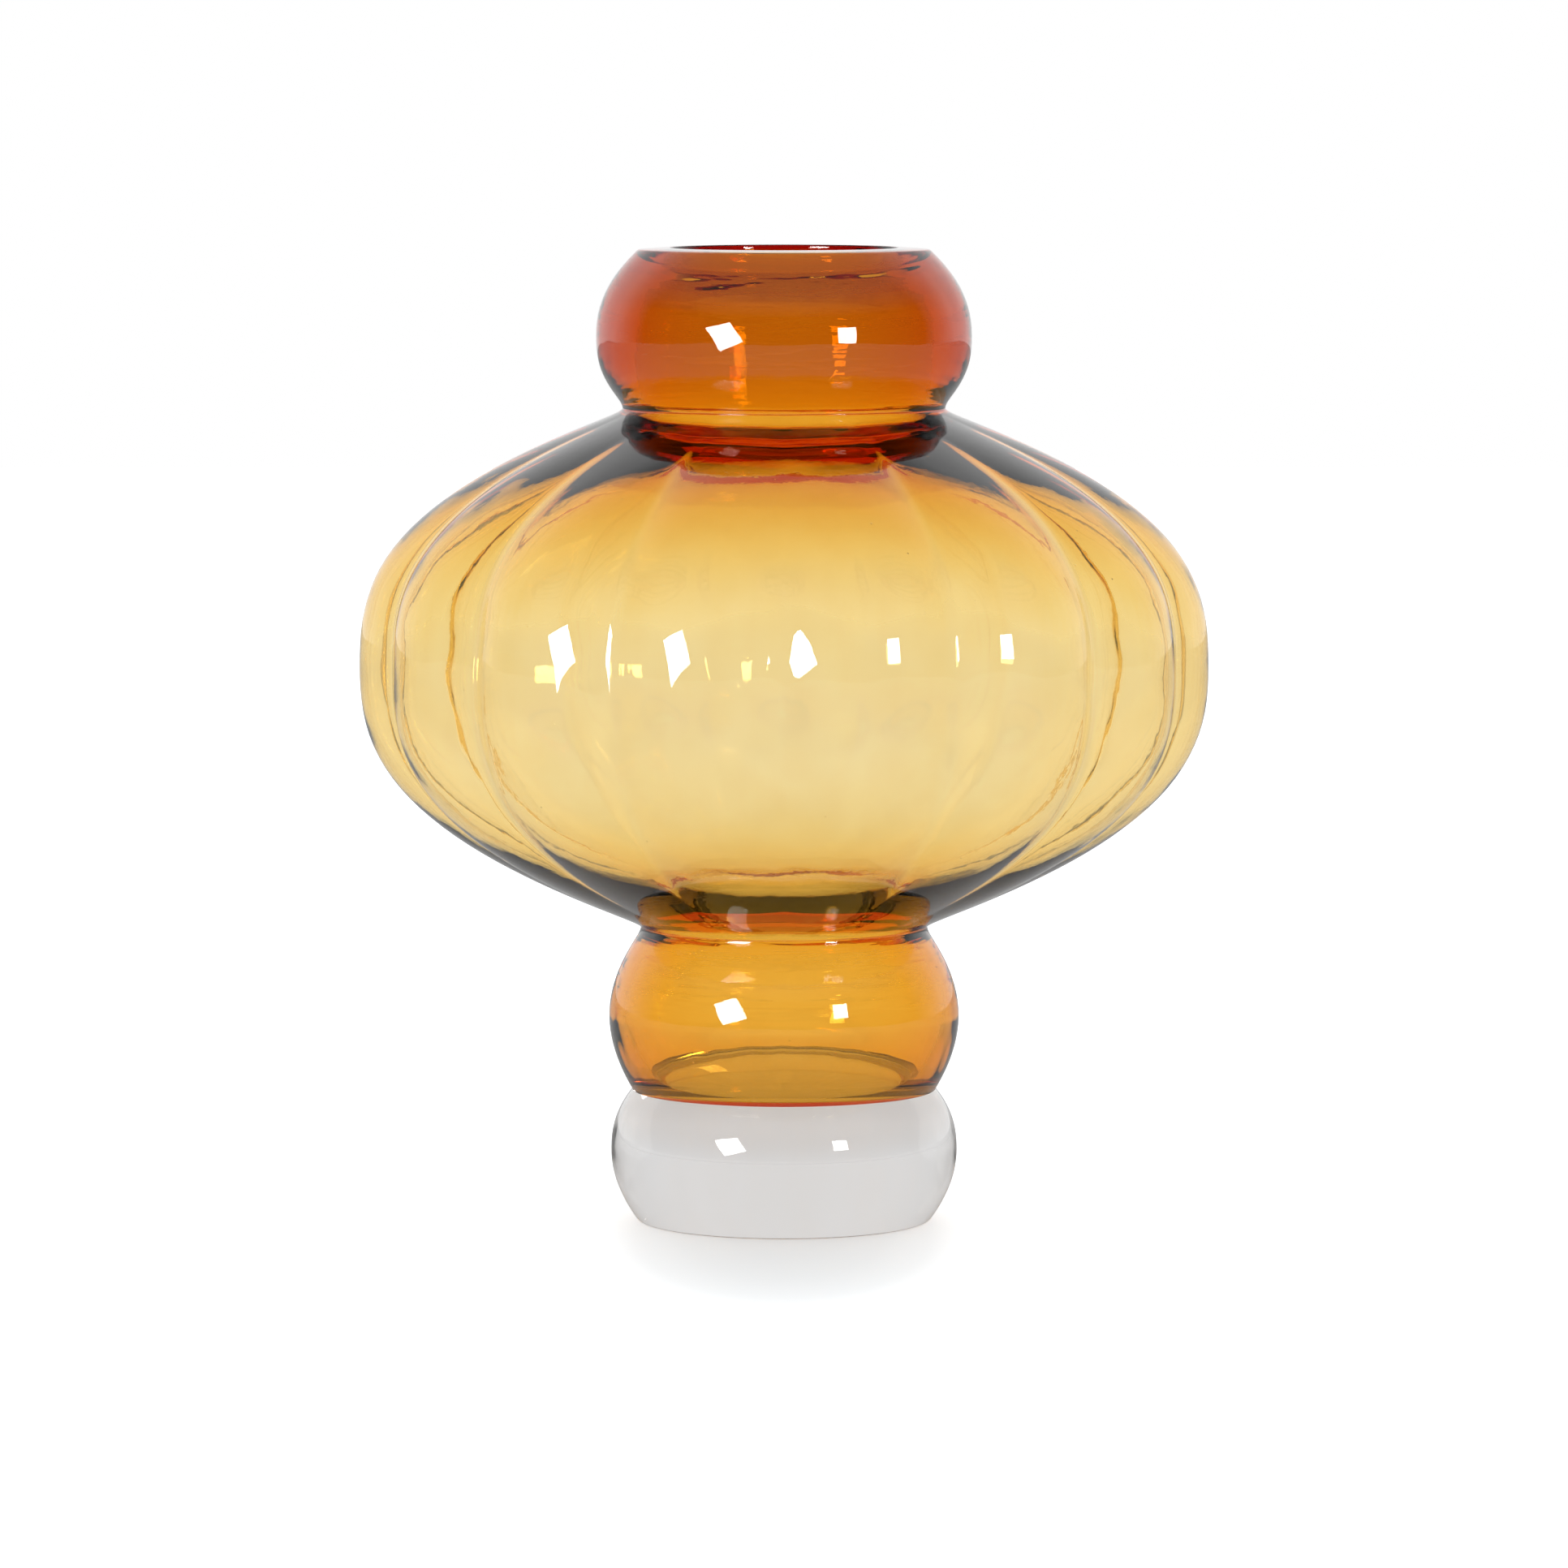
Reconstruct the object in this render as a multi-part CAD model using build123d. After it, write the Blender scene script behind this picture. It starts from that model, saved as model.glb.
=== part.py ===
from build123d import *
import math
import os

# Blown glass vase: a wide ribbed globe between two small round bulbs, on a solid clear foot.
# Lengths are in millimetres. The origin is the centre of the resting face, +Z runs up the
# axis, and a crease between two ribs of the globe faces -Y.

# Height of each piece, from its lower seat to its upper one.
FOOT_HEIGHT = 54.4
LOWER_BULB_HEIGHT = 66.9
GLOBE_HEIGHT = 213.2
MOUTH_BULB_HEIGHT = 65.5

# Outer radius of each seat and of the resting face.
BASE_RADIUS = 60.0
SEAM_RADIUS = 62.4
LOWER_WAIST_RADIUS = 59.0
UPPER_WAIST_RADIUS = 66.1
RIM_RADIUS = 59.5

# Widest radius of each piece, and its height above that piece's lower seat.
FOOT_BELLY_RADIUS = 71.2
FOOT_BELLY_RISE = 29.0
LOWER_BULB_BELLY_RADIUS = 72.0
LOWER_BULB_BELLY_RISE = 30.0
GLOBE_BELLY_RADIUS = 174.2
GLOBE_BELLY_RISE = 108.7
MOUTH_BULB_BELLY_RADIUS = 76.9
MOUTH_BULB_BELLY_RISE = 29.5

# Radius of the way through at each waist and at the rim.
LOWER_WAIST_BORE = 50.5
UPPER_WAIST_BORE = 54.5
RIM_BORE = 46.4

# Walls of glass, square to the surface at each belly, and the solid floor of the lower bulb.
LOWER_BULB_WALL = 6.2
GLOBE_WALL = 2.1
GLOBE_OVER_SPREAD = 5.5     # added to the wall evenly from the belly up to the upper waist
GLOBE_UNDER_SPREAD = -0.9   # the same from the belly down to the lower waist
MOUTH_BULB_WALL = 16.0
MOUTH_CAVITY_BELLY_RISE = 26.5
FLOOR_THICKNESS = 3.0
FLOOR_FLAT_RADIUS = 53.0

# The rim: its cut face, and the collar that hangs into the mouth bulb inside it.
RIM_SLOPE = 0.75        # drop of the cut face from its inner edge to its outer one
COLLAR_DEPTH = 12.5
COLLAR_FLARE = 3.5      # how much wider the collar is at its foot than at the rim

# Ribs of the globe: how many, and how deep the creases between them are at the belly.
RIB_COUNT = 15
CREASE_DEPTH = 10.0
CREASE_FADE = 4.0       # power by which the creases die out towards a waist

# Shape of each curve from a belly to its end: the power of its swell, and how round its end is.
FOOT_BASE_CURVE = (2.0, 0.0)
FOOT_SEAM_CURVE = (2.4, 0.0)
LOWER_BULB_SEAM_CURVE = (1.9, 0.0)
LOWER_BULB_WAIST_CURVE = (2.0, 0.15)
GLOBE_UNDER_CURVE = (2.58, 0.045)
GLOBE_OVER_CURVE = (2.7, 0.045)
MOUTH_BULB_WAIST_CURVE = (2.5, 0.28)
MOUTH_BULB_RIM_CURVE = (2.2, 0.0)
MOUTH_CAVITY_WAIST_CURVE = (2.6, 0.1)
MOUTH_CAVITY_COLLAR_CURVE = (3.0, 0.1)

# Powers by which the wall of the globe spreads from the belly and gathers at each waist, by which
# the collar flares, and of the dish between the wall and the floor of the lower bulb.
SPREAD_POWER = 1.5
OVER_GATHER_POWER = 8.0
UNDER_GATHER_POWER = 6.0
COLLAR_POWER = 2.0
DISH_POWER = 1.45

STEPS = 8               # spans of each curve from a belly to its end
NUDGE = 1e-4            # share of a span over which a slope is taken

# Heights above the resting face.
SEAM_Z = FOOT_HEIGHT
LOWER_WAIST_Z = SEAM_Z + LOWER_BULB_HEIGHT
UPPER_WAIST_Z = LOWER_WAIST_Z + GLOBE_HEIGHT
RIM_Z = UPPER_WAIST_Z + MOUTH_BULB_HEIGHT


def swell(share, power, ease):
    """How far out a curve is, from 1 at the belly (share 0) to 0 at its end (share 1)."""
    rise = 1 - abs(share)**power
    return (math.hypot(rise, ease) - ease) / (math.hypot(1, ease) - ease)


def radius_at(share, belly, end, power, ease):
    return end[0] + (belly[0] - end[0]) * swell(share, power, ease)


def shares():
    """Steps from a belly to the end of its curve, closer together near the end."""
    return [math.sin(math.pi / 2 * step / STEPS) for step in range(STEPS + 1)]


def half_curve(belly, end, power, ease):
    """Points (radius, height) from a belly to the end of its curve."""
    span = end[1] - belly[1]
    return [(radius_at(s, belly, end, power, ease), belly[1] + span * s) for s in shares()]


def curve(bottom, belly, top, under, over):
    """Points up one side of a bulb. under and over are the power and ease of each half."""
    return half_curve(belly, bottom, *under)[:0:-1] + half_curve(belly, top, *over)


def dish(cup, flat):
    """Points down from the widest ring inside a cup to the edge of its flat floor."""
    points = []
    for step in range(STEPS + 1):
        turn = math.pi / 2 * step / STEPS
        radius = flat[0] + (cup[0] - flat[0]) * math.cos(turn)**(2 / DISH_POWER)
        height = cup[1] - (cup[1] - flat[1]) * math.sin(turn)**(2 / DISH_POWER)
        points.append((radius, height))
    return points


def collar():
    """Points down the inside of the collar, from the rim to its foot."""
    points = []
    for step in range(STEPS + 1):
        share = step / STEPS
        points.append((RIM_BORE + COLLAR_FLARE * share**COLLAR_POWER, RIM_Z - COLLAR_DEPTH * share))
    return points


def profile_spline(points):
    return Spline(*[(radius, 0, height) for radius, height in points])


def turned(edges):
    """Solid of revolution about the axis, from the edges round one half section."""
    return revolve(make_face(edges), Axis.Z)


def level_line(start, end):
    return Line((start[0], 0, start[1]), (end[0], 0, end[1]))


def clear_foot():
    """Solid clear disc with a round side, flat above and below."""
    side = curve(
        (BASE_RADIUS, 0), (FOOT_BELLY_RADIUS, FOOT_BELLY_RISE), (SEAM_RADIUS, SEAM_Z),
        FOOT_BASE_CURVE, FOOT_SEAM_CURVE)
    foot_axis = level_line((0, SEAM_Z), (0, 0))
    base = level_line((0, 0), side[0])
    seat = level_line(side[-1], (0, SEAM_Z))
    return turned([base, profile_spline(side), seat, foot_axis])


def lower_bulb():
    """Cup with a thin floor, seated on the foot and open at the waist above it."""
    belly_z = SEAM_Z + LOWER_BULB_BELLY_RISE
    floor_z = SEAM_Z + FLOOR_THICKNESS
    waist = (LOWER_WAIST_RADIUS, LOWER_WAIST_Z)
    outside = curve(
        (SEAM_RADIUS, SEAM_Z), (LOWER_BULB_BELLY_RADIUS, belly_z), waist,
        LOWER_BULB_SEAM_CURVE, LOWER_BULB_WAIST_CURVE)
    cavity_belly = (LOWER_BULB_BELLY_RADIUS - LOWER_BULB_WALL, belly_z)
    lip = (LOWER_WAIST_BORE, LOWER_WAIST_Z)
    inside = half_curve(cavity_belly, lip, *LOWER_BULB_WAIST_CURVE)
    floor_edge = (FLOOR_FLAT_RADIUS, floor_z)
    return turned([
        level_line((0, SEAM_Z), outside[0]), profile_spline(outside),
        level_line(waist, lip), profile_spline(inside), profile_spline(dish(cavity_belly, floor_edge)),
        level_line(floor_edge, (0, floor_z)), level_line((0, floor_z), (0, SEAM_Z))])


def mouth_bulb():
    """Thick ring of glass above the upper waist, cut off to a wide rim."""
    belly_z = UPPER_WAIST_Z + MOUTH_BULB_BELLY_RISE
    waist = (UPPER_WAIST_RADIUS, UPPER_WAIST_Z)
    rim = (RIM_RADIUS, RIM_Z - RIM_SLOPE)
    outside = curve(
        waist, (MOUTH_BULB_BELLY_RADIUS, belly_z), rim,
        MOUTH_BULB_WAIST_CURVE, MOUTH_BULB_RIM_CURVE)
    lip = (UPPER_WAIST_BORE, UPPER_WAIST_Z)
    throat = collar()
    inside = curve(
        lip, (MOUTH_BULB_BELLY_RADIUS - MOUTH_BULB_WALL, UPPER_WAIST_Z + MOUTH_CAVITY_BELLY_RISE),
        throat[-1], MOUTH_CAVITY_WAIST_CURVE, MOUTH_CAVITY_COLLAR_CURVE)
    return turned([
        profile_spline(outside), level_line(rim, throat[0]), profile_spline(throat),
        profile_spline(inside), level_line(lip, waist)])


def globe_half(end, bore, shape, spread, gather):
    """Rings of half the globe from its belly to a waist, outer then inner.

    Each ring is (radius over the ribs, height, share of the crease depth).
    """
    belly = (GLOBE_BELLY_RADIUS, LOWER_WAIST_Z + GLOBE_BELLY_RISE)
    span = end[1] - belly[1]
    outer = []
    inner = []
    for share in shares():
        radius = radius_at(share, belly, end, *shape)
        ahead = radius_at(share + NUDGE, belly, end, *shape)
        behind = radius_at(share - NUDGE, belly, end, *shape)
        slope = (ahead - behind) / (2 * NUDGE * span)
        gathered = end[0] - bore - GLOBE_WALL - spread
        wall = GLOBE_WALL + spread * share**SPREAD_POWER + gathered * share**gather
        inset = wall / math.hypot(1, slope)
        height = belly[1] + span * share
        crease = 1 - share**CREASE_FADE
        outer.append((radius, height, crease))
        inner.append((radius - inset, height + inset * slope, crease))
    return outer, inner


def ribbed_section(radius, height, crease):
    """Level section of the globe: one arc over each rib, meeting in the creases."""
    depth = CREASE_DEPTH * crease * radius / GLOBE_BELLY_RADIUS
    step = 2 * math.pi / RIB_COUNT
    arcs = []
    for rib in range(RIB_COUNT):
        start = rib * step - math.pi / 2
        points = []
        for turn, reach in ((0, radius - depth), (0.5, radius), (1, radius - depth)):
            angle = start + turn * step
            points.append((reach * math.cos(angle), reach * math.sin(angle), height))
        arcs.append(ThreePointArc(*points))
    return make_face(Wire(arcs))


def ribbed_globe():
    """Hollow ribbed globe, open at both waists."""
    upper_waist = (UPPER_WAIST_RADIUS, UPPER_WAIST_Z)
    lower_waist = (LOWER_WAIST_RADIUS, LOWER_WAIST_Z)
    over = globe_half(
        upper_waist, UPPER_WAIST_BORE, GLOBE_OVER_CURVE, GLOBE_OVER_SPREAD, OVER_GATHER_POWER)
    under = globe_half(
        lower_waist, LOWER_WAIST_BORE, GLOBE_UNDER_CURVE, GLOBE_UNDER_SPREAD, UNDER_GATHER_POWER)
    outer, inner = [lower[:0:-1] + upper for lower, upper in zip(under, over)]
    skin = loft([ribbed_section(*ring) for ring in outer])
    cavity = loft([ribbed_section(*ring) for ring in inner])
    return skin - cavity


os.makedirs("parts", exist_ok=True)
for node, shape in (
        ("clear_foot", clear_foot()), ("lower_bulb", lower_bulb()),
        ("ribbed_globe", ribbed_globe()), ("mouth_bulb", mouth_bulb())):
    export_step(shape, f"parts/{node}.step")
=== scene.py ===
import math
import bpy
import numpy as np
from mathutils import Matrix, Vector


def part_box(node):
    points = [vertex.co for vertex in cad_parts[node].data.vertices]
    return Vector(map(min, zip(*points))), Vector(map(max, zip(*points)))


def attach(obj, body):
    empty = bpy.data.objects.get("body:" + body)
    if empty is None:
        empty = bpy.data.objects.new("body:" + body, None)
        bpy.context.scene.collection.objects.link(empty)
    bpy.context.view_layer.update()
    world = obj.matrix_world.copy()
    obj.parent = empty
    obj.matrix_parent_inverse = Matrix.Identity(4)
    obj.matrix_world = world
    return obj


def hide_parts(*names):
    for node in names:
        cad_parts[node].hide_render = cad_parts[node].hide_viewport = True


# Blown glass vase in two pieces: the amber vessel, and the clear foot fused under it. The amber
# glass is one mesh over the three amber solids, because fused glass has no faces inside it.
# Lengths are in metres, and colours are linear.

MM = 0.001

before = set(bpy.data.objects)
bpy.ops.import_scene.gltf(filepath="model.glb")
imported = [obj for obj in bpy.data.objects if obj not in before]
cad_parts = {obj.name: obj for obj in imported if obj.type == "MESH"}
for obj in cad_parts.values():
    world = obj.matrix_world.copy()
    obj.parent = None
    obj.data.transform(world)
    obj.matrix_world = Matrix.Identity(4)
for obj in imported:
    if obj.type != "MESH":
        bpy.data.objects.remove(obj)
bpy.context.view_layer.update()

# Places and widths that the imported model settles. A belly is (radius, height).
_, foot_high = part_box("clear_foot")
_, bulb_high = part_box("lower_bulb")
_, globe_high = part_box("ribbed_globe")
_, mouth_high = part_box("mouth_bulb")

SEAM_Z = foot_high[2]
LOWER_WAIST_Z = bulb_high[2]
UPPER_WAIST_Z = globe_high[2]
RIM_Z = mouth_high[2]
FOOT_BELLY = (foot_high[0], 29.0 * MM)
BULB_BELLY = (bulb_high[0], SEAM_Z + 30.0 * MM)
GLOBE_BELLY = (174.2 * MM, LOWER_WAIST_Z + 108.7 * MM)
MOUTH_BELLY = (mouth_high[0], UPPER_WAIST_Z + 29.5 * MM)

BASE_RADIUS = 60.0 * MM
SEAM_RADIUS = 62.4 * MM
LOWER_WAIST = (59.0 * MM, LOWER_WAIST_Z)
UPPER_WAIST = (66.1 * MM, UPPER_WAIST_Z)
RIM_SLOPE = 0.75 * MM
RIM_OUTER_EDGE = (59.5 * MM, RIM_Z - RIM_SLOPE)
RIM_INNER_EDGE = (46.4 * MM, RIM_Z)
RIM_ROUND = 0.9 * MM
BASE_ROUND = 1.6 * MM
CLEAR_OF_ROUND = 0.1 * MM   # how far a curve stops short of a rounded corner
RIM_LOOK_BACK = 4           # points from a corner to the one that gives its curve's direction
BASE_LOOK_BACK = 5
SEAM_GAP = 0.04 * MM        # between the two meshes, which are one piece of glass in real life
SEAM_REACH = 0.75           # of that gap, how far from its middle a face counts as fused

# The inside: bores, walls, the collar under the rim and the floor of the lower bulb.
LOWER_WAIST_BORE = 50.5 * MM
UPPER_WAIST_BORE = 54.5 * MM
COLLAR_DEPTH = 12.5 * MM
COLLAR_FLARE = 3.5 * MM
COLLAR_POWER = 2.0
BULB_WALL = 6.2 * MM
GLOBE_WALL = 2.1 * MM
GLOBE_OVER_SPREAD = 5.5 * MM
GLOBE_UNDER_SPREAD = -0.9 * MM
SPREAD_POWER = 2.0          # by which the wall grows evenly from the belly
GLOBE_OVER_GATHER = 8.0     # by which it gathers at the waist
GLOBE_UNDER_GATHER = 6.0
MOUTH_WALL = 16.0 * MM
MOUTH_CAVITY_BELLY_Z = UPPER_WAIST_Z + 26.5 * MM
FLOOR_THICKNESS = 3.0 * MM
FLOOR_FLAT_RADIUS = 53.0 * MM
FLOOR_EDGE_SHARE = 0.97     # of the flat floor's radius, where its outermost ring of points is
DISH_POWER = 1.45

# Curve of each half bulb: power of the swell and roundness of its end.
FOOT_BASE_CURVE = (2.0, 0.0)
FOOT_SEAM_CURVE = (2.4, 0.0)
BULB_SEAM_CURVE = (1.9, 0.0)
BULB_WAIST_CURVE = (2.0, 0.15)
GLOBE_UNDER_CURVE = (2.58, 0.045)
GLOBE_OVER_CURVE = (2.7, 0.045)
MOUTH_WAIST_CURVE = (2.5, 0.28)
MOUTH_RIM_CURVE = (2.2, 0.0)
MOUTH_LINING_CURVE = (2.6, 0.1)
MOUTH_CEILING_CURVE = (3.0, 0.1)

# Spans of mesh along each half curve, points round each rounded corner, and spans round a rib.
FOOT_UNDER_STEPS = 28
FOOT_OVER_STEPS = 30
BULB_UNDER_STEPS = 16
BULB_OVER_STEPS = 18
CUP_STEPS = 16
DISH_POINTS = 18
GLOBE_STEPS = 36
MOUTH_STEPS = 18
CEILING_STEPS = 24
COLLAR_POINTS = 14
RIM_ROUND_POINTS = 5
BASE_ROUND_POINTS = 7
AMBER_RIB_STEPS = 20
FOOT_RIB_STEPS = 16
SHARP_ANGLE = 35            # degrees between faces over which an edge is shaded sharp

RIB_COUNT = 15
CREASE_DEPTH = 10.0 * MM    # at the belly
CREASE_FADE = 4.0           # power by which the creases die out towards a waist
CREASE_ROUND = 0.11         # share of half a rib over which a crease is rounded
CREASE_CROWD = 0.75         # how much the mesh crowds towards a crease, from 0 to 1

# Waves that the hand left in the glass, each (amount, count round the vase, height of one wave,
# phase). Those of the creases are in radians and the rest are depths.
CREASE_DRIFT = ((0.0022, 4, 130 * MM, 0.4), (0.0016, 7, -75 * MM, 2.1), (0.0011, 11, 47 * MM, 1.0))
SKIN_WAVES = ((0.09 * MM, 6, 160 * MM, 0.0), (0.05 * MM, 17, -60 * MM, 1.7),
              (0.03 * MM, 31, 38 * MM, 0.6), (0.02 * MM, 43, -24 * MM, 2.9))
LINING_WAVES = ((0.07 * MM, 5, 90 * MM, 1.1), (0.05 * MM, 13, -42 * MM, 0.2),
                (0.035 * MM, 29, 27 * MM, 2.2), (0.02 * MM, 37, -18 * MM, 0.9))
RING_WAVES = ((0.04 * MM, 2, 9.5 * MM, 0.5), (0.02 * MM, -3, 6.0 * MM, 1.3))
WAVE_GROWTH = 1.5           # power by which the waves grow with the radius
AMBER_SWAY = 1.0
FOOT_SWAY = 0.4
SEAM_HOLD = 8.0 * MM        # no wave at the seam, and all of it this far away
EDGE_HOLD = 6.0 * MM        # the same at the cut rim and the resting face
TOOL_REACH = 76.0 * MM      # the tool's rings are on the lining inside this radius
TOOL_FADE = 10.0 * MM

# Light lost per metre in the glass is density * (1 - colour).
AMBER_DENSITY = 256.0
AMBER_COLOR = (0.961, 0.748, 0.024)
CLEAR_DENSITY = 3.6
CLEAR_COLOR = (0.37, 0.35, 0.345)
GLASS_IOR = 1.5
FUSED_IOR = 1.0

# Surface of the glass. A scale is features per metre, a stretch below 1 draws them out, and a
# range is the part of the noise that shows.
WAVE_SCALE = 38.0
WAVE_DEPTH = 0.16 * MM
LINE_SCALE = 190.0
LINE_STRETCH = 0.09
LINE_DEPTH = 0.012 * MM
RING_SCALE = 200.0
RING_STRETCH = 0.12
RING_DEPTH = 0.6 * MM
AMBER_SEEDS = 62.0
CLEAR_SEEDS = 55.0
SEED_RADIUS = 0.45 * MM
SEED_DEPTH = 0.12 * MM
FILM_SCALE = 24.0
FILM_RANGE = (0.5, 0.8)
FILM_ROUGHNESS = 0.03
SCUFF_SCALE = 900.0
SCUFF_RANGE = (0.45, 0.7)
SCUFF_HEIGHT = 1.4 * MM
SCUFF_ROUGHNESS = 0.4
CORD_SCALE = 60.0
CORD_STRETCH = 0.2
CORD_RANGE = (0.35, 0.65)
CORD_TINT = (0.985, 0.975, 0.96)

# The amber deepens up the mouth bulb over one span of heights. Over another span, at the top, the
# glass is darkened further as painted shade, which stands for the dim ceiling seen through it.
DEEP_SPAN = (UPPER_WAIST_Z + 4 * MM, UPPER_WAIST_Z + 26 * MM)
DEEP_TINT = (0.84, 0.95, 1)
PAINTED_CROWN_SHADE_SPAN = (UPPER_WAIST_Z + 38 * MM, UPPER_WAIST_Z + 54 * MM)
PAINTED_CROWN_SHADE = (0.7, 0.76, 0.88)
WHITE = (1, 1, 1)
BLACK = (0, 0, 0)

# The floor is a pale sheet that glows. Its glow at each distance from the axis is what shows
# through glass, dimmed near the axis as painted shadow under the vase. What the camera sees has
# the soft shadow by the foot, a little in front of the axis: the real shadow from the light, with
# a painted shadow where the camera's glow dips. The paint that the camera sees is bluish, which
# offsets the amber cast that light through the glass gives the floor.
FLOOR_SIZE = 12
FLOOR_PAINT = (0.7, 0.7, 0.7)
FLOOR_PAINT_SEEN = (0.64, 0.69, 0.73)
FLOOR_GLOW_AND_PAINTED_SHADOW = [
    (0, 0.36), (0.07, 0.36), (0.14, 0.48), (1.5, 0.52), (2.0, 0.5), (2.6, 0.43), (3.6, 0.45),
    (6, 0.505), (12, 0.505)]
PAINTED_SHADOW_STRETCH = (2.4, 0.9, 1)
PAINTED_SHADOW_SHIFT = (0, 0.054, 0)
PAINTED_SHADOW_GLOW = [
    (0, 0.4), (0.05, 0.41), (0.06, 0.44), (0.107, 0.455), (0.13, 0.505), (0.145, 0.55),
    (0.155, 0.6), (0.165, 0.65), (0.185, 0.74), (0.25, 1.0), (12, 1.0)]

LAMP_AIM = Vector((0, 0, 0.35))
LAMP_DISTANCE = 1.5
LAMP_ELEVATION = 5
LAMP_RADIANCE = 25

CAMERA_PLACE = (0, -3.42, 0.486)
CAMERA_AIM = Vector((0, 0, 0.180))
SENSOR_MM = 36
LENS_MM = 192

# Columns of a profile.
RADIUS, HEIGHT, CREASE, WALL, INNER = range(5)


def swell(share, power, ease):
    """How far out a curve is, from 1 at the belly (share 0) to 0 at its end (share 1)."""
    rise = 1 - np.abs(share)**power
    return (np.hypot(rise, ease) - ease) / (math.hypot(1, ease) - ease)


def half_curve(belly, end, power, ease, steps):
    """Points (radius, height) from a belly to the end of its curve, and the share of the way."""
    share = np.sin(np.linspace(0, math.pi / 2, steps + 1))
    radius = end[0] + (belly[0] - end[0]) * swell(share, power, ease)
    height = belly[1] + (end[1] - belly[1]) * share
    return np.column_stack([radius, height]), share


def rows(points, crease=0.0, wall=0.0, inner=0.0):
    """Profile rows: radius, height, crease share, depth under the outer face, 1 if inside."""
    count = len(points)
    return np.column_stack([points] + [np.broadcast_to(v, count) for v in (crease, wall, inner)])


def inner_rows(points):
    return rows(points, inner=1)


def globe_half(end, bore, curve, spread, gather):
    """Outer rows of half the globe, and the rows of its lining, which lie a wall under them."""
    points, share = half_curve(GLOBE_BELLY, end, *curve, GLOBE_STEPS)
    gathered = end[0] - bore - GLOBE_WALL - spread
    wall = GLOBE_WALL + spread * share**SPREAD_POWER + gathered * share**gather
    crease = 1 - share**CREASE_FADE
    return rows(points, crease), rows(points, crease, wall, 1)


def rounded(corner, before, after, radius, count):
    """Points round a corner of a profile, between the directions of two points beside it."""
    corner, before, after = (np.array(p, float) for p in (corner, before, after))
    a = before - corner
    b = after - corner
    a /= np.hypot(*a)
    b /= np.hypot(*b)
    t = np.linspace(0, 1, count)[:, None]
    return corner + radius * ((1 - t)**2 * a + t**2 * b)


def level(height, *radii):
    return np.array([[radius, height] for radius in radii])


def rim_and_collar(mouth_over):
    """The cut rim between its rounded edges, and the points down the inside of the collar."""
    collar_foot = (RIM_INNER_EDGE[0], RIM_Z - COLLAR_DEPTH)
    rim = np.vstack([
        rounded(
            RIM_OUTER_EDGE, mouth_over[-RIM_LOOK_BACK], RIM_INNER_EDGE,
            RIM_ROUND, RIM_ROUND_POINTS),
        rounded(RIM_INNER_EDGE, RIM_OUTER_EDGE, collar_foot, RIM_ROUND, RIM_ROUND_POINTS)])
    down = np.linspace(0, 1, COLLAR_POINTS)
    collar = np.column_stack([
        RIM_INNER_EDGE[0] + COLLAR_FLARE * down**COLLAR_POWER, RIM_Z - COLLAR_DEPTH * down])
    return rim, collar[collar[:, 1] < rim[-1, 1] - CLEAR_OF_ROUND]


def amber_profile():
    """Closed profile of the amber glass: from the axis under its floor, up the outside and down
    the inside to the axis."""
    under = level(SEAM_Z, 0, SEAM_RADIUS / 2, SEAM_RADIUS)
    bulb_under, _ = half_curve(
        BULB_BELLY, (SEAM_RADIUS, SEAM_Z), *BULB_SEAM_CURVE, BULB_UNDER_STEPS)
    bulb_over, _ = half_curve(BULB_BELLY, LOWER_WAIST, *BULB_WAIST_CURVE, BULB_OVER_STEPS)
    under_out, under_in = globe_half(
        LOWER_WAIST, LOWER_WAIST_BORE, GLOBE_UNDER_CURVE, GLOBE_UNDER_SPREAD, GLOBE_UNDER_GATHER)
    over_out, over_in = globe_half(
        UPPER_WAIST, UPPER_WAIST_BORE, GLOBE_OVER_CURVE, GLOBE_OVER_SPREAD, GLOBE_OVER_GATHER)
    mouth_under, _ = half_curve(MOUTH_BELLY, UPPER_WAIST, *MOUTH_WAIST_CURVE, MOUTH_STEPS)
    mouth_over, _ = half_curve(MOUTH_BELLY, RIM_OUTER_EDGE, *MOUTH_RIM_CURVE, MOUTH_STEPS)
    rim, collar = rim_and_collar(mouth_over)
    mouth_over = mouth_over[mouth_over[:, 1] < rim[0, 1] - CLEAR_OF_ROUND]

    cavity_belly = (MOUTH_BELLY[0] - MOUTH_WALL, MOUTH_CAVITY_BELLY_Z)
    ceiling, _ = half_curve(cavity_belly, tuple(collar[-1]), *MOUTH_CEILING_CURVE, CEILING_STEPS)
    lining, _ = half_curve(
        cavity_belly, (UPPER_WAIST_BORE, UPPER_WAIST_Z), *MOUTH_LINING_CURVE, MOUTH_STEPS)
    cup = (BULB_BELLY[0] - BULB_WALL, BULB_BELLY[1])
    cup_over, _ = half_curve(cup, (LOWER_WAIST_BORE, LOWER_WAIST_Z), *BULB_WAIST_CURVE, CUP_STEPS)
    floor_z = SEAM_Z + FLOOR_THICKNESS
    turn = np.linspace(0, math.pi / 2, DISH_POINTS)
    dish = np.column_stack([
        FLOOR_FLAT_RADIUS + (cup[0] - FLOOR_FLAT_RADIUS) * np.cos(turn)**(2 / DISH_POWER),
        cup[1] - (cup[1] - floor_z) * np.sin(turn)**(2 / DISH_POWER)])
    floor = level(floor_z, FLOOR_FLAT_RADIUS * FLOOR_EDGE_SHARE, FLOOR_FLAT_RADIUS / 2, 0)
    return np.vstack([
        rows(under), rows(bulb_under[::-1][1:]), rows(bulb_over[1:]),
        under_out[::-1][1:], over_out[1:], rows(mouth_under[::-1][1:]), rows(mouth_over[1:]),
        rows(rim), inner_rows(collar), inner_rows(ceiling[::-1][1:]), inner_rows(lining[1:]),
        over_in[::-1][1:], under_in[1:], inner_rows(cup_over[::-1][1:]),
        inner_rows(dish[1:]), inner_rows(floor)])


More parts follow.
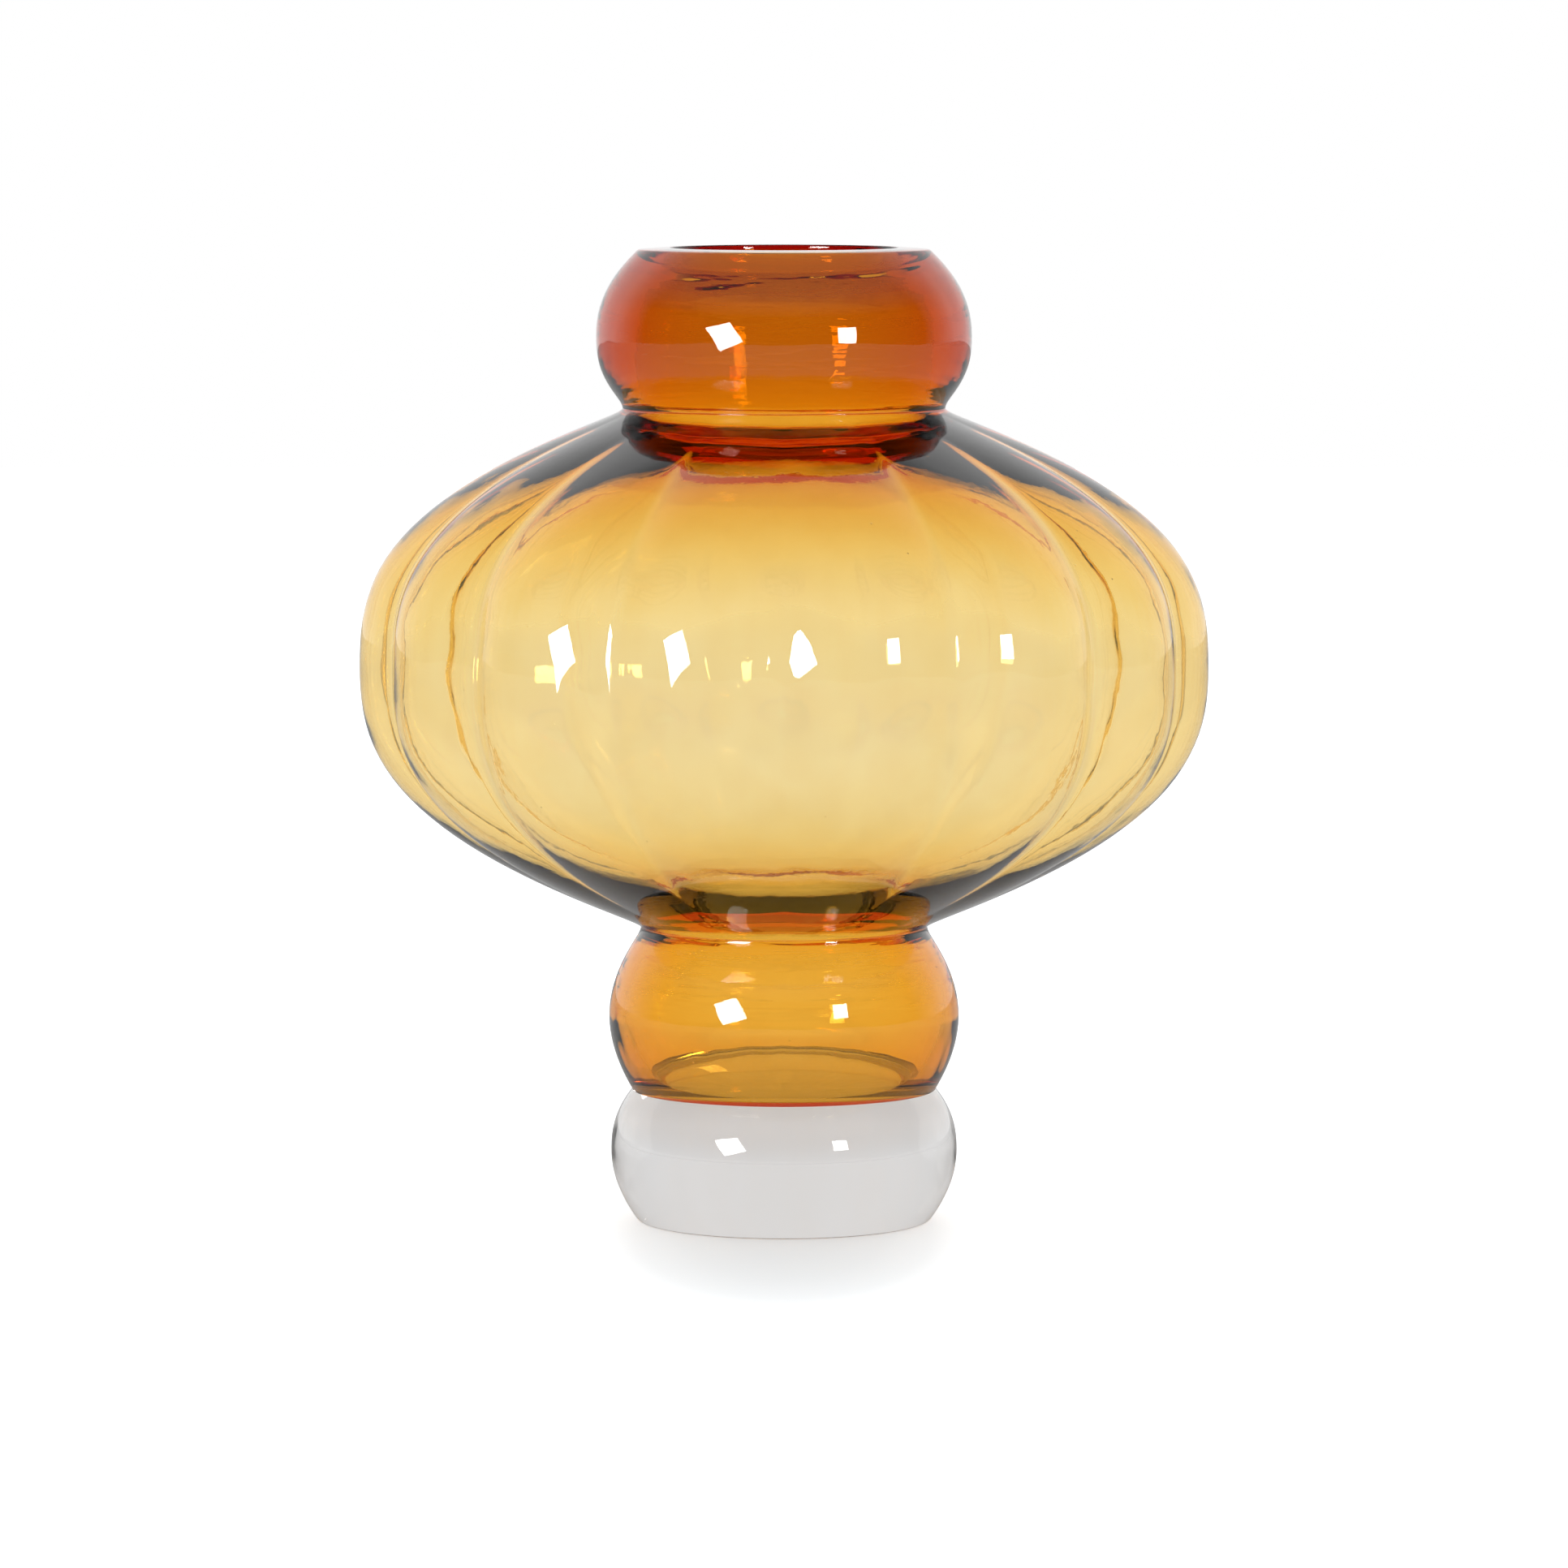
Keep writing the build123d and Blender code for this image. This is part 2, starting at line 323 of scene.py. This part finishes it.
def foot_profile():
    """Closed profile of the foot: from the axis along the resting face, up the side and back to
    the axis."""
    top_z = SEAM_Z - SEAM_GAP
    under, _ = half_curve(FOOT_BELLY, (BASE_RADIUS, 0), *FOOT_BASE_CURVE, FOOT_UNDER_STEPS)
    edge = rounded(
        (BASE_RADIUS, 0), (0, 0), under[-BASE_LOOK_BACK], BASE_ROUND, BASE_ROUND_POINTS)
    under = under[under[:, 1] > edge[-1, 1] + CLEAR_OF_ROUND]
    over, _ = half_curve(FOOT_BELLY, (SEAM_RADIUS, top_z), *FOOT_SEAM_CURVE, FOOT_OVER_STEPS)
    top = level(top_z, SEAM_RADIUS / 2, 0)
    return rows(np.vstack([level(0, 0, BASE_RADIUS / 2), edge, under[::-1], over[1:], top]))


def rib_turns(count):
    """Places round one rib, from 0 to 1, closer together by the creases."""
    even = np.linspace(0, 1, count + 1)[:-1]
    return even - CREASE_CROWD * np.sin(2 * math.pi * even) / (2 * math.pi)


def lobe_drop(turn, ease):
    """How far in a rib's section is, from 0 on its back to 1 in a sharp crease.

    The section is an arc through two creases and the back between them, and ease rounds off
    the creases.
    """
    half = math.pi / RIB_COUNT
    reach = GLOBE_BELLY[0]
    crease = reach - CREASE_DEPTH
    chord = crease * math.sin(half)
    rise = reach - crease * math.cos(half)
    arc = (chord**2 + rise**2) / (2 * rise)
    centre = reach - arc
    from_crease = 1 - np.abs(2 * turn - 1)
    angle = (1 - np.hypot(from_crease, ease)) * half
    radius = centre * np.cos(angle) + np.sqrt(arc**2 - (centre * np.sin(angle))**2)
    return (reach - radius) / CREASE_DEPTH


def ripple(waves, angle, height):
    return sum(amount * np.sin(count * angle + 2 * math.pi * height / length + phase)
               for amount, count, length, phase in waves)


def hold(height):
    """Share of the waves at a height: none at the seam, the cut rim and the resting face."""
    near = [
        np.abs(height - SEAM_Z) / SEAM_HOLD, (RIM_Z - height) / EDGE_HOLD, height / EDGE_HOLD]
    return np.clip(np.minimum.reduce(near), 0, 1)


def face_normals(face):
    """Outward normals of a grid of points that closes round the axis."""
    along = np.gradient(face, axis=0)
    around = np.roll(face, -1, axis=1) - np.roll(face, 1, axis=1)
    normal = np.cross(along, around)
    normal /= np.linalg.norm(normal, axis=-1, keepdims=True)
    return normal * np.sign(np.sum(normal * face * (1, 1, 0), axis=-1, keepdims=True))


def ring_grid(body, turns, sway):
    """Rings of points round the axis for the rows of a profile, and the tool's mark on each."""
    ribs = np.add.outer(np.arange(RIB_COUNT), turns).ravel()
    angles = (ribs * 2 * math.pi / RIB_COUNT) - math.pi / 2
    drop = np.tile(lobe_drop(turns, CREASE_ROUND), RIB_COUNT)
    depth = CREASE_DEPTH * body[:, CREASE] * body[:, RADIUS] / GLOBE_BELLY[0]
    height = body[:, HEIGHT][:, None]
    radius = body[:, RADIUS][:, None] - np.outer(depth, drop)
    steady = hold(height)
    sway = sway * steady * (radius / GLOBE_BELLY[0])**WAVE_GROWTH
    crest = sum(wave[0] for wave in SKIN_WAVES)
    radius = radius + sway * (ripple(SKIN_WAVES, angles, height) - crest)
    turned = angles + sway * ripple(CREASE_DRIFT, angles, height)
    grid = np.stack([radius * np.cos(turned), radius * np.sin(turned),
                     np.broadcast_to(height, radius.shape)], axis=-1)

    inside = np.flatnonzero(body[:, WALL])
    if len(inside):
        face = grid[inside]
        grid[inside] = face - body[inside, WALL][:, None, None] * face_normals(face)

    inner = body[:, INNER][:, None]
    tooled = inner * steady * np.clip((TOOL_REACH - radius) / TOOL_FADE, 0, 1)
    tooled = tooled * np.clip((height - BULB_BELLY[1]) / TOOL_FADE, 0, 1)
    lining = inner * sway * ripple(LINING_WAVES, angles, height)
    lining = lining + tooled * ripple(RING_WAVES, angles, height)
    grid[..., :2] *= (1 + lining / radius)[..., None]
    return grid, tooled


def closed_faces(rings, count):
    """Quads between rings of points, and a fan at each end to a point on the axis."""
    last = 1 + rings * count
    faces = [(0, 1 + (k + 1) % count, 1 + k) for k in range(count)]
    for a in range(1, last - count, count):
        b = a + count
        for k in range(count):
            n = (k + 1) % count
            faces.append((a + k, a + n, b + n, b + k))
    a = last - count
    faces += [(a + k, a + (k + 1) % count, last) for k in range(count)]
    return faces


def revolve(name, profile, rib_steps, sway):
    """Closed mesh round a profile, with its ribs and waves."""
    grid, tooled = ring_grid(profile[1:-1], rib_turns(rib_steps), sway)
    rings, count = tooled.shape
    ends = [(0.0, 0.0, profile[end, HEIGHT]) for end in (0, -1)]
    verts = np.vstack([ends[0], grid.reshape(-1, 3), ends[1]])
    mesh = bpy.data.meshes.new(name)
    mesh.from_pydata(verts.tolist(), [], closed_faces(rings, count))
    mesh.validate()
    marks = mesh.attributes.new("tooled", "FLOAT", "POINT")
    marks.data.foreach_set("value", np.concatenate([[0], tooled.ravel(), [0]]))
    mesh.shade_smooth()
    mesh.set_sharp_from_angle(angle=math.radians(SHARP_ANGLE))
    piece = bpy.data.objects.new(name, mesh)
    bpy.context.collection.objects.link(piece)
    return piece


class Graph:
    """Node tree of a material or world, with the kinds of node that this scene needs."""

    def __init__(self, owner):
        owner.use_nodes = True
        self.nodes = owner.node_tree.nodes
        self.links = owner.node_tree.links

    def add(self, kind, **settings):
        node = self.nodes.new("ShaderNode" + kind)
        for name, value in settings.items():
            setattr(node, name, value)
        return node

    def feed(self, socket, value):
        """Link a socket to an output, or set it to a number, vector or colour."""
        if isinstance(value, bpy.types.NodeSocket):
            self.links.new(value, socket)
        elif socket.type == "RGBA":
            socket.default_value = (*value, 1)
        else:
            socket.default_value = value

    def noise(self, where, scale, detail, stretch=(1, 1, 1)):
        """Noise that is drawn out along each axis by 1 / stretch."""
        spread = self.add("Mapping")
        self.feed(spread.inputs["Scale"], stretch)
        self.feed(spread.inputs["Vector"], where)
        noise = self.add("TexNoise")
        self.feed(noise.inputs["Scale"], scale)
        self.feed(noise.inputs["Detail"], detail)
        self.feed(noise.inputs["Vector"], spread.outputs[0])
        return noise.outputs["Fac"]

    def carry(self, value, before, after, smooth=False):
        """Value carried from one range to another and held at its ends."""
        span = self.add("MapRange", interpolation_type="SMOOTHSTEP" if smooth else "LINEAR")
        for name, number in zip(("From Min", "From Max", "To Min", "To Max"), (*before, *after)):
            self.feed(span.inputs[name], number)
        self.feed(span.inputs["Value"], value)
        return span.outputs[0]

    def combine(self, operation, *values):
        result = self.add("Math", operation=operation)
        for socket, value in zip(result.inputs, values):
            self.feed(socket, value)
        return result.outputs[0]

    def distance(self, where):
        length = self.add("VectorMath", operation="LENGTH")
        self.feed(length.inputs[0], where)
        return length.outputs["Value"]

    def relief(self, height, depth, below=None):
        """Bump of a depth in metres, laid over another."""
        bump = self.add("Bump")
        self.feed(bump.inputs["Strength"], 1.0)
        self.feed(bump.inputs["Distance"], depth)
        self.feed(bump.inputs["Height"], height)
        if below is not None:
            self.feed(bump.inputs["Normal"], below)
        return bump.outputs["Normal"]

    def blend(self, factor, first, second, kind="MIX"):
        mix = self.add("Mix", data_type="RGBA", blend_type=kind)
        self.feed(mix.inputs["Factor"], factor)
        self.feed(mix.inputs["A"], first)
        self.feed(mix.inputs["B"], second)
        return mix.outputs["Result"]

    def fade(self, value, steps):
        """Grey that runs through (value, grey) steps, straight from one to the next."""
        curve = self.add("ValToRGB")
        low = steps[0][0]
        span = steps[-1][0] - low
        ramp = curve.color_ramp
        while len(ramp.elements) < len(steps):
            ramp.elements.new(0.5)
        for element, (place, grey) in zip(ramp.elements, steps):
            element.position = (place - low) / span
            element.color = (grey, grey, grey, 1)
        self.feed(curve.inputs[0], self.carry(value, (low, low + span), (0, 1)))
        return curve.outputs["Color"]


def surface(graph, where, seeds):
    """Relief of blown glass: slow waves, the tool's rings, draw lines and seeds."""
    waves = graph.noise(where, WAVE_SCALE, 1.0)
    rings = graph.noise(where, RING_SCALE, 2.0, (RING_STRETCH, RING_STRETCH, 1))
    tooled = graph.add("Attribute", attribute_name="tooled").outputs["Fac"]
    lines = graph.noise(where, LINE_SCALE, 2.0, (1, 1, LINE_STRETCH))
    bubbles = graph.add("TexVoronoi")
    graph.feed(bubbles.inputs["Scale"], seeds)
    graph.feed(bubbles.inputs["Vector"], where)
    spots = graph.carry(bubbles.outputs["Distance"], (0, SEED_RADIUS * seeds), (1, 0), smooth=True)
    normal = graph.relief(waves, WAVE_DEPTH)
    normal = graph.relief(graph.combine("MULTIPLY", rings, tooled), RING_DEPTH, normal)
    normal = graph.relief(lines, LINE_DEPTH, normal)
    return graph.relief(spots, SEED_DEPTH, normal)


def wear(graph, where, height):
    """Roughness: a thin film of handling, and scuffs round the edge of the resting face."""
    film = graph.carry(graph.noise(where, FILM_SCALE, 4.0), FILM_RANGE, (0, FILM_ROUGHNESS))
    scuff = graph.carry(graph.noise(where, SCUFF_SCALE, 3.0), SCUFF_RANGE, (0, 1))
    low = graph.carry(height, (0, SCUFF_HEIGHT), (SCUFF_ROUGHNESS, 0))
    return graph.combine("ADD", film, graph.combine("MULTIPLY", scuff, low))


def tint(graph, where, height, deep, painted_crown_shade):
    """Colour over the glass: deeper up the mouth bulb, darker at its top as painted shade for the
    dim ceiling seen through it, and faint cords all over.
    """
    cords = graph.noise(where, CORD_SCALE, 2.0, (1, 1, CORD_STRETCH))
    cords = graph.carry(cords, CORD_RANGE, (0, 1))
    color = graph.blend(graph.carry(height, DEEP_SPAN, (0, 1), smooth=True), WHITE, deep)
    # Painted shade: the top of the mouth bulb is darkened for the dim ceiling seen through the
    # glass.
    color = graph.blend(graph.carry(height, PAINTED_CROWN_SHADE_SPAN, (0, 1), smooth=True), color, painted_crown_shade)
    return graph.blend(cords, color, CORD_TINT, "MULTIPLY")


def glass(name, color, density, seeds, deep=WHITE, painted_crown_shade=WHITE):
    """Blown glass. At the seam, where the two glasses are fused, light passes without bending."""
    material = bpy.data.materials.new(name)
    graph = Graph(material)
    shader = graph.nodes["Principled BSDF"]
    split = graph.add("SeparateXYZ")
    graph.feed(split.inputs[0], graph.add("NewGeometry").outputs["Position"])
    height = split.outputs["Z"]
    where = graph.add("TexCoord").outputs["Object"]
    fused = graph.combine("COMPARE", height, SEAM_Z - SEAM_GAP / 2, SEAM_GAP * SEAM_REACH)
    graph.feed(shader.inputs["Transmission Weight"], 1.0)
    graph.feed(shader.inputs["IOR"], graph.carry(fused, (0, 1), (GLASS_IOR, FUSED_IOR)))
    graph.feed(shader.inputs["Normal"], surface(graph, where, seeds))
    graph.feed(shader.inputs["Roughness"], wear(graph, where, height))
    graph.feed(shader.inputs["Base Color"], tint(graph, where, height, deep, painted_crown_shade))
    volume = graph.add("VolumeAbsorption")
    graph.feed(volume.inputs["Color"], color)
    graph.feed(volume.inputs["Density"], density)
    graph.feed(graph.nodes["Material Output"].inputs["Volume"], volume.outputs[0])
    return material


def rise(degrees):
    return math.sin(math.radians(degrees))


def studio():
    """White walls under a dim ceiling. The half of the room behind the camera is dark to what
    mirrors it."""
    world = bpy.data.worlds.new("studio")
    bpy.context.scene.world = world
    graph = Graph(world)
    split = graph.add("SeparateXYZ")
    graph.feed(split.inputs[0], graph.add("TexCoord").outputs["Generated"])
    up = split.outputs["Z"]
    wall = graph.fade(up, [(-1, 1.0), (rise(40), 1.0), (rise(66), 0.2), (1, 0.3)])
    back = graph.fade(up, [(-1, 1.0), (rise(45), 1.0), (rise(70), 0.4), (1, 0.4)])
    dark = graph.fade(up, [(-1, 0.4), (0, 0.04), (rise(24), 0.04), (rise(48), 0.4), (1, 0.4)])
    behind = graph.fade(split.outputs["Y"], [
        (-1, 0), (0.1, 0), (0.34, 0.4), (0.47, 0.68), (0.62, 1), (1, 1)])
    rays = graph.add("LightPath").outputs
    mirror = graph.combine("SUBTRACT", rays["Is Reflection Ray"], rays["Is Diffuse Ray"])
    seen = graph.blend(mirror, wall, graph.blend(behind, dark, back))
    background = graph.nodes["Background"]
    graph.feed(background.inputs["Color"], graph.blend(rays["Is Camera Ray"], seen, WHITE))
    graph.feed(background.inputs["Strength"], 1.0)


def stage_floor():
    bpy.ops.mesh.primitive_plane_add(size=FLOOR_SIZE)
    floor = bpy.context.object
    floor.name = "studio_floor"
    material = bpy.data.materials.new("studio_floor")
    graph = Graph(material)
    shader = graph.nodes["Principled BSDF"]
    graph.feed(shader.inputs["Roughness"], 1.0)
    graph.feed(shader.inputs["Specular IOR Level"], 0.0)
    graph.feed(shader.inputs["Emission Strength"], 1.0)
    rays = graph.add("LightPath").outputs
    # The camera sees a bluish paint, which offsets the amber cast of light through the glass.
    paint = graph.blend(rays["Is Camera Ray"], FLOOR_PAINT, FLOOR_PAINT_SEEN)
    graph.feed(shader.inputs["Base Color"], paint)
    where = graph.add("TexCoord").outputs["Object"]
    # Glow that shows through the glass, dimmed near the axis as painted shadow under the vase.
    through_glow_and_painted_shadow = graph.fade(graph.distance(where), FLOOR_GLOW_AND_PAINTED_SHADOW)
    through_glow_and_painted_shadow = graph.blend(rays["Is Reflection Ray"], through_glow_and_painted_shadow, BLACK)
    # Painted shadow: the camera's glow dips in a stretched patch round the foot, over its real
    # shadow.
    shade = graph.add("VectorMath", operation="MULTIPLY_ADD")
    for socket, value in zip(shade.inputs, (where, PAINTED_SHADOW_STRETCH, PAINTED_SHADOW_SHIFT)):
        graph.feed(socket, value)
    seen = graph.fade(graph.distance(shade.outputs["Vector"]), PAINTED_SHADOW_GLOW)
    graph.feed(shader.inputs["Emission Color"], graph.blend(rays["Is Camera Ray"], through_glow_and_painted_shadow, seen))
    floor.data.materials.append(material)


def softbox(name, azimuth, width, height, roll, through):
    """Lamp that faces the vase from one side of the camera, and shows in its reflections.

    Through says whether it also shows through the glass. Angles are in degrees.
    """
    light = bpy.data.lights.new(name, "AREA")
    light.shape = "RECTANGLE"
    light.size = width
    light.size_y = height
    light.energy = LAMP_RADIANCE * math.pi * width * height
    lamp = bpy.data.objects.new(name, light)
    bpy.context.collection.objects.link(lamp)
    turn = math.radians(azimuth - 90)
    lift = math.radians(LAMP_ELEVATION)
    lamp.location = LAMP_AIM + LAMP_DISTANCE * Vector((
        math.cos(turn) * math.cos(lift), math.sin(turn) * math.cos(lift), math.sin(lift)))
    lamp.rotation_euler = (LAMP_AIM - lamp.location).to_track_quat("-Z", "Y").to_euler()
    lamp.rotation_euler.rotate_axis("Z", math.radians(roll))
    lamp.visible_diffuse = False
    lamp.visible_transmission = through


def camera():
    data = bpy.data.cameras.new("camera")
    data.sensor_width = SENSOR_MM
    data.lens = LENS_MM
    cam = bpy.data.objects.new("camera", data)
    bpy.context.collection.objects.link(cam)
    cam.location = CAMERA_PLACE
    cam.rotation_euler = (CAMERA_AIM - cam.location).to_track_quat("-Z", "Y").to_euler()
    bpy.context.scene.camera = cam


amber = revolve("amber_vessel", amber_profile(), AMBER_RIB_STEPS, AMBER_SWAY)
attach(amber, "root")
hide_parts("mouth_bulb", "ribbed_globe", "lower_bulb")
amber.data.materials.append(glass(
    "amber_glass", AMBER_COLOR, AMBER_DENSITY, AMBER_SEEDS, DEEP_TINT, PAINTED_CROWN_SHADE))

foot = revolve("clear_foot_polished", foot_profile(), FOOT_RIB_STEPS, FOOT_SWAY)
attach(foot, "root")
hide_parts("clear_foot")
foot.data.materials.append(glass("clear_glass", CLEAR_COLOR, CLEAR_DENSITY, CLEAR_SEEDS))

studio()
stage_floor()
softbox("softbox_left", -36, 0.44, 0.54, 27, through=False)
softbox("softbox_right", 38, 0.27, 0.34, 0, through=True)
camera()
bpy.context.scene.view_settings.view_transform = "Standard"
